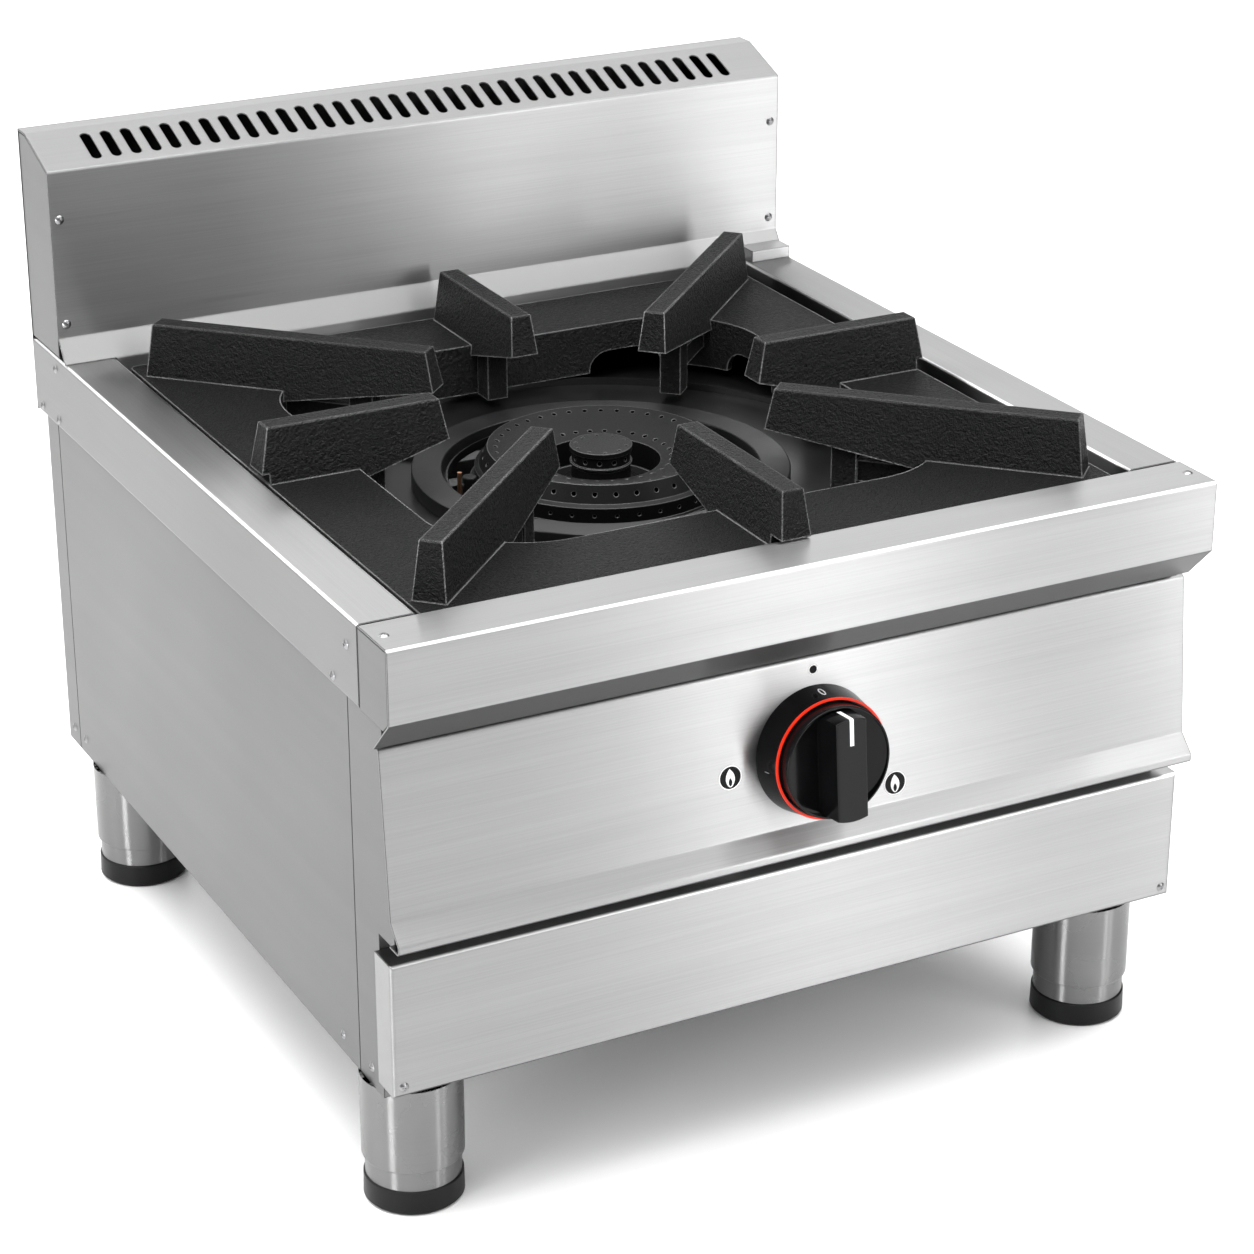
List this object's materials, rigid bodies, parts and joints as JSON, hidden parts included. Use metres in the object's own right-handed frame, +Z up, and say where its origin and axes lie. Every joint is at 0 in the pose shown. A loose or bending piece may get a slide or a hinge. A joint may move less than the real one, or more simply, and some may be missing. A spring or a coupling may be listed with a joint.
{
  "type": "stock pot range",
  "caption": "Low free-standing gas range with one large burner under a cast fingered grid, a vented splashback, a leaning control panel with a rotary knob and a pull-out drip tray.",
  "frame": {"origin": "on the floor, under the middle of the part's bounding box", "axes": "+Z up, -Y towards the user and the knob, +X to the user's right"},
  "size_m": [0.603, 0.7034, 0.5807],
  "materials": {
    "steel": "brushed satin",
    "sheet": "mill finish",
    "pan": "pressed, satin",
    "enamel": "black enamel, satin",
    "iron": "matt black, fine cast grain",
    "casting": "rough cast",
    "burner": "machined, heat darkened",
    "copper": "drawn tube",
    "brass": "machined",
    "knob": "gloss black",
    "red": "gloss",
    "screw": "plated",
    "leg": "brushed, turned",
    "rubber": "matt"
  },
  "bodies": {
    "cabinet": {"left_rail": "steel", "right_rail": "steel", "front_rail": "steel", "back_rail": "steel", "front_cap_left": "steel", "front_cap_right": "steel", "rear_corner_cap": "steel", "control_panel": "steel", "front_post_left": "steel", "front_post_right": "steel", "rear_post_left": "steel", "rear_post_right": "steel", "left_side_panel": "steel", "right_side_panel": "steel", "rear_panel": "sheet", "base_panel": "sheet", "splash_front": "steel", "splash_left": "steel", "splash_right": "steel", "splash_back": "steel", "tray_runner_left": "sheet", "tray_runner_right": "sheet", "spill_pan": "pan", "burner_body": "casting", "burner_bridge": "sheet", "pilot_burner": "sheet", "thermocouple": "copper", "mixing_tube": "casting", "injector": "brass", "injector_pipe": "copper", "gas_valve": "brass", "gas_pipe": "sheet", "gas_inlet": "brass", "knob_bezel": "knob", "bezel_ring": "red", "case_screws": "screw", "leg_sleeve_front_left": "leg", "leg_sleeve_front_right": "leg", "leg_sleeve_rear_left": "leg", "leg_sleeve_rear_right": "leg"},
    "tray": {"drip_tray": "sheet", "tray_front": "steel", "tray_screws": "screw"},
    "grid": {"pot_grid": "iron"},
    "flame_ring_lift": {"flame_ring": "burner"},
    "cap_lift": {"centre_cap": "burner"},
    "drip_ring_lift": {"drip_ring": "enamel"},
    "plunger": {"valve_plunger": "brass"},
    "knob_turn": {"knob": "knob", "valve_spindle": "sheet"},
    "shutter": {"air_shutter": "sheet"},
    "foot_front_left": {"foot_tube_front_left": "leg", "foot_pad_front_left": "rubber"},
    "foot_front_right": {"foot_tube_front_right": "leg", "foot_pad_front_right": "rubber"},
    "foot_rear_left": {"foot_tube_rear_left": "leg", "foot_pad_rear_left": "rubber"},
    "foot_rear_right": {"foot_tube_rear_right": "leg", "foot_pad_rear_right": "rubber"}
  },
  "joints": [
    {"name": "tray_slide", "type": "slide", "parent": "cabinet", "child": "tray", "axis": [0, -1, 0], "range_m": [0, 0.42]},
    {"name": "grid_lift", "type": "slide", "parent": "cabinet", "child": "grid", "axis": [0, 0, 1], "range_m": [0, 0.12]},
    {"name": "flame_ring_lift", "type": "slide", "parent": "cabinet", "child": "flame_ring_lift", "axis": [0, 0, 1], "range_m": [0, 0.1]},
    {"name": "cap_lift", "type": "slide", "parent": "cabinet", "child": "cap_lift", "axis": [0, 0, 1], "range_m": [0, 0.1]},
    {"name": "drip_ring_lift", "type": "slide", "parent": "cabinet", "child": "drip_ring_lift", "axis": [0, 0, 1], "range_m": [0, 0.025]},
    {"name": "knob_push", "type": "slide", "parent": "cabinet", "child": "plunger", "axis": [0, 0.9958, -0.0916], "range_m": [0, 0.004], "stiffness_N_per_m": 800, "springref_m": -0.002},
    {"name": "knob_turn", "type": "hinge", "parent": "plunger", "child": "knob_turn", "pos_m": [0.006, -0.30176, 0.283], "axis": [0, -0.9958, 0.0916], "range_deg": [0, 240]},
    {"name": "shutter_slide", "type": "slide", "parent": "cabinet", "child": "shutter", "axis": [0, 1, 0], "range_m": [0, 0.0077]},
    {"name": "foot_front_left", "type": "slide", "parent": "cabinet", "child": "foot_front_left", "axis": [0, 0, -1], "range_m": [0, 0.025]},
    {"name": "foot_front_right", "type": "slide", "parent": "cabinet", "child": "foot_front_right", "axis": [0, 0, -1], "range_m": [0, 0.025]},
    {"name": "foot_rear_left", "type": "slide", "parent": "cabinet", "child": "foot_rear_left", "axis": [0, 0, -1], "range_m": [0, 0.025]},
    {"name": "foot_rear_right", "type": "slide", "parent": "cabinet", "child": "foot_rear_right", "axis": [0, 0, -1], "range_m": [0, 0.025]}
  ]
}
